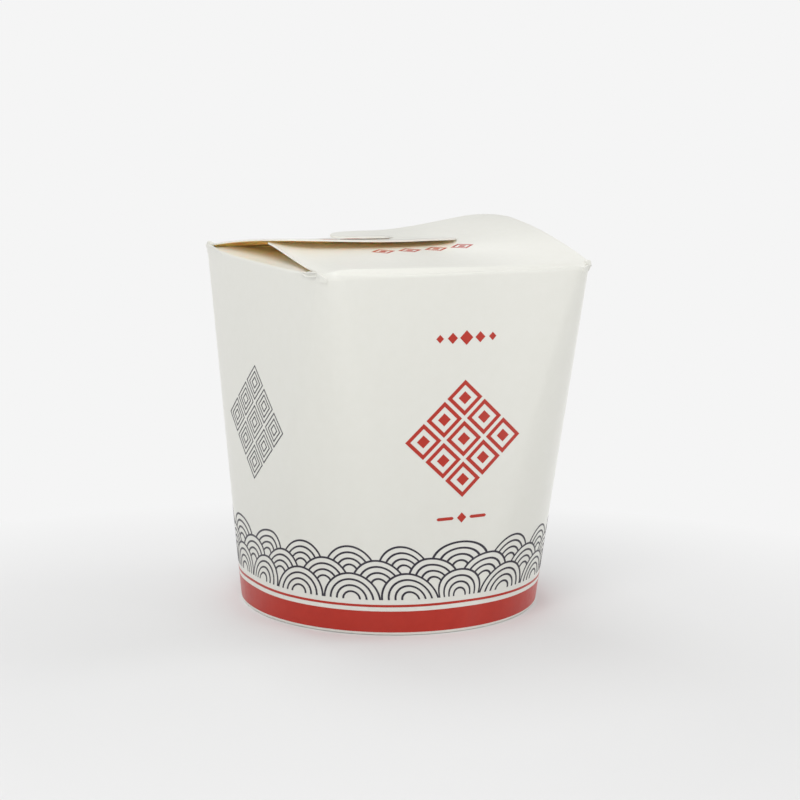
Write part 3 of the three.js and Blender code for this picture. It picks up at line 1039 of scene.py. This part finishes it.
def shown_arc(centre, radius, covers, foot):
    """The first and last angle of a circle's upper arc that the covers leave free."""
    sine = (foot - centre[1]) / radius
    if sine >= 1:
        return None
    first = math.asin(max(sine, -1))
    last = math.pi - first
    for x, y, reach in covers:
        dx, dy = x - centre[0], y - centre[1]
        apart = math.hypot(dx, dy)
        cosine = (radius**2 + apart**2 - reach**2) / (2 * radius * apart)
        if cosine >= 1:
            continue
        if cosine <= -1:
            return None
        half = math.acos(cosine)
        if dx >= 0:
            first = max(first, math.atan2(dy, dx) + half)
        if dx <= 0:
            last = min(last, math.atan2(dy, dx) % (2 * math.pi) - half)
    return (first, last) if last > first else None


def wall_surface(shift, level=None):
    """Lays (along, up) on the wall; with a level, lengths along are those at that height."""
    def lay(grid, out):
        up = grid[..., 1]
        places = place_at(grid[..., 0], up if level is None else np.full(up.shape, level))
        return wall_point(places + shift, up, out)
    return lay


def flap_surface(rise, other, turned):
    turn = -1.0 if turned else 1.0

    def lay(grid, out):
        x, y = grid[..., 0], grid[..., 1]
        z = WALL_HEIGHT + flap_height(rise, other, x, y) + out
        return np.stack([turn * x, turn * y, z], axis=-1)
    return lay


def border_lengths():
    """Where the seam is and how long a round is, along the wall at the border."""
    share = BORDER_LEVEL / WALL_HEIGHT
    along = (1 - share) * BASE_ALONG + share * TOP_ALONG
    seam = np.interp(SEAM_PLACE, PLACES, along)
    return seam, (1 - share) * 2 * math.pi * BASE_RADIUS + share * TOP_LENGTH


def print_stripes():
    seam, length = border_lengths()
    ink = Ink(wall_surface(0, BORDER_LEVEL))
    margin = INK_STEP / 2
    along = np.linspace(seam - length + margin, seam - margin, int(length / INK_STEP))
    for low, high in STRIPES:
        heights = np.linspace(low, high, max(LEAST_STEPS, int(high - low)))
        ink.add_patch(np.stack(np.meshgrid(along, heights), axis=-1))
    ink.piece("print_stripes", RED_INK, "print_red")


def print_fans():
    """Rows of overlapping fans round the box, the lower ones in front."""
    seam, length = border_lengths()
    ink = Ink(wall_surface(0, BORDER_LEVEL), seam, length)
    radius = length / (2 * FAN_COUNT)
    rows = [
        [((2 * k + row % 2) * radius - length / 2, FAN_FOOT + row * radius / 2)
         for k in range(-FAN_SPARE, FAN_COUNT + FAN_SPARE)]
        for row in range(FAN_ROWS)
    ]
    half = FAN_LINE_WIDTH / 2
    for row, centres in enumerate(rows):
        covers = [(x, y, radius) for lower in rows[:row] for x, y in lower]
        for centre in centres[FAN_SPARE:-FAN_SPARE]:
            near = [cover for cover in covers if abs(cover[0] - centre[0]) < 2 * radius]
            for share in FAN_LINES:
                middle = share * radius
                edges = (middle + half, middle, middle - half)
                ink.add_ring(np.array(centre), edges, near, FAN_FOOT)
    ink.piece("print_fans", DARK_INK, "print_dark")


def print_face(name, shift):
    ink = Ink(wall_surface(shift))
    ink.add_lattice(LATTICE_UP, BOLD_BANDS)
    for along, radius in DIAMONDS:
        ink.add_diamond(along, DIAMONDS_UP, radius)
    ink.add_diamond(0.0, RULE_UP, RULE_DIAMOND)
    for ends in RULE_ENDS:
        along = np.linspace(*ends, RULE_POINTS)
        ink.add_line(np.column_stack([along, np.full(RULE_POINTS, RULE_UP)]), RULE_WIDTH)
    ink.piece(name, RED_INK, "print_red")


def print_side(name, shift):
    ink = Ink(wall_surface(shift))
    ink.add_lattice(LATTICE_UP, FINE_BANDS)
    ink.piece(name, DARK_INK, "print_dark")


def print_lid(name, rise, other, turned):
    ink = Ink(flap_surface(rise, other, turned))
    for i in range(LID_COUNT):
        ink.add_lozenge((LID_FIRST[0] + 2 * i * LID_CELL[0], LID_FIRST[1]), LID_CELL, BOLD_BANDS)
    ink.piece(name, RED_INK, "print_red")


print_stripes()
print_fans()
print_face("print_face_front", 0)
print_face("print_face_rear", HALF_ROUND)
print_side("print_side_right", SIDE_SPAN)
print_side("print_side_left", -SIDE_SPAN)
print_lid("print_lid_front", FRONT_RISE, REAR_RISE, turned=False)
print_lid("print_lid_rear", REAR_RISE, FRONT_RISE, turned=True)


# ---- Stage ------------------------------------------------------------------------------------
# Lengths from here on are in metres. The floor is plain near the box and as pale as the horizon
# further off, so that the two meet without a line.
FLOOR_REACH = 20.0
FLOOR_GREY = 0.75
FLOOR_ROUGHNESS = 0.8
FLOOR_SPECULAR = 0.2
FADE_CENTRE = (-0.05, -0.10, 0.0)
FADE_START = 0.09
FADE_END = 0.24
HORIZON_GREY = 0.913
SKY_GREY = 0.58
HORIZON_BAND = (0.03, 0.1)  # sines of the elevations between which the sky darkens


def build_floor():
    mesh = bpy.data.meshes.new("floor")
    corners = ((-1, -1), (1, -1), (1, 1), (-1, 1))
    points = [(x * FLOOR_REACH, y * FLOOR_REACH, 0) for x, y in corners]
    mesh.from_pydata(points, [], [(0, 1, 2, 3)])
    material, nodes, links, shader = new_material("floor")
    shader.inputs["Base Color"].default_value = (*[FLOOR_GREY] * 3, 1.0)
    shader.inputs["Roughness"].default_value = FLOOR_ROUGHNESS
    shader.inputs["Specular IOR Level"].default_value = FLOOR_SPECULAR
    place = nodes.new("ShaderNodeNewGeometry").outputs["Position"]
    away = nodes.new("ShaderNodeVectorMath")
    away.operation = "DISTANCE"
    links.new(place, away.inputs[0])
    away.inputs[1].default_value = FADE_CENTRE
    share = spread(nodes, links, away.outputs["Value"], 0.0, 1.0, FADE_START, FADE_END)
    glow = nodes.new("ShaderNodeEmission")
    glow.inputs["Color"].default_value = (*[HORIZON_GREY] * 3, 1.0)
    blend = nodes.new("ShaderNodeMixShader")
    links.new(share, blend.inputs["Fac"])
    links.new(shader.outputs["BSDF"], blend.inputs[1])
    links.new(glow.outputs["Emission"], blend.inputs[2])
    links.new(blend.outputs["Shader"], nodes["Material Output"].inputs["Surface"])
    mesh.materials.append(material)
    floor = add_object("floor", mesh)


# name: (azimuth and elevation in degrees, distance, width and height in metres, watts)
LIGHTS = {
    "left_side": (-172.0, 20.0, 1.3, 0.5, 0.7, 0.5),
    "left_high": (-130.0, 50.0, 0.55, 0.25, 0.25, 1.2),
    "right": (-10.0, 30.0, 1.3, 0.4, 0.4, 1.9),
    "back": (90.0, 66.0, 1.4, 0.6, 0.6, 2.75),
    "back_low": (48.0, 26.0, 1.4, 0.9, 0.5, 0.4),
    "strip_right": (-54.0, 6.0, 1.3, 0.14, 0.5, 1.35),
}


def add_area(name, place, target, size, power):
    data = bpy.data.lights.new(name, "AREA")
    data.shape = "RECTANGLE"
    data.size, data.size_y = size
    data.energy = power
    light = add_object(name, data)
    light.location = place
    light.rotation_euler = (target - place).to_track_quat("-Z", "Y").to_euler()
    light.visible_camera = False


def light_stage():
    world = bpy.data.worlds.new("studio")
    world.use_nodes = True
    nodes, links = world.node_tree.nodes, world.node_tree.links
    split = nodes.new("ShaderNodeSeparateXYZ")
    links.new(nodes.new("ShaderNodeTexCoord").outputs["Generated"], split.inputs["Vector"])
    share = spread(nodes, links, split.outputs["Z"], 0.0, 1.0, *HORIZON_BAND)
    colour = mix_colours(nodes, links, share, [HORIZON_GREY] * 3, [SKY_GREY] * 3)
    links.new(colour, nodes["Background"].inputs["Color"])
    bpy.context.scene.world = world
    middle = Vector((0.0, 0.0, WALL_HEIGHT / 2 * MM))
    for name, (azimuth, elevation, distance, width, height, power) in LIGHTS.items():
        around, up = math.radians(azimuth), math.radians(elevation)
        level = math.cos(up)
        towards = Vector((math.cos(around) * level, math.sin(around) * level, math.sin(up)))
        add_area(name, middle + distance * towards, middle, (width, height), power)
    bpy.context.scene.view_settings.view_transform = "Standard"


build_floor()
light_stage()
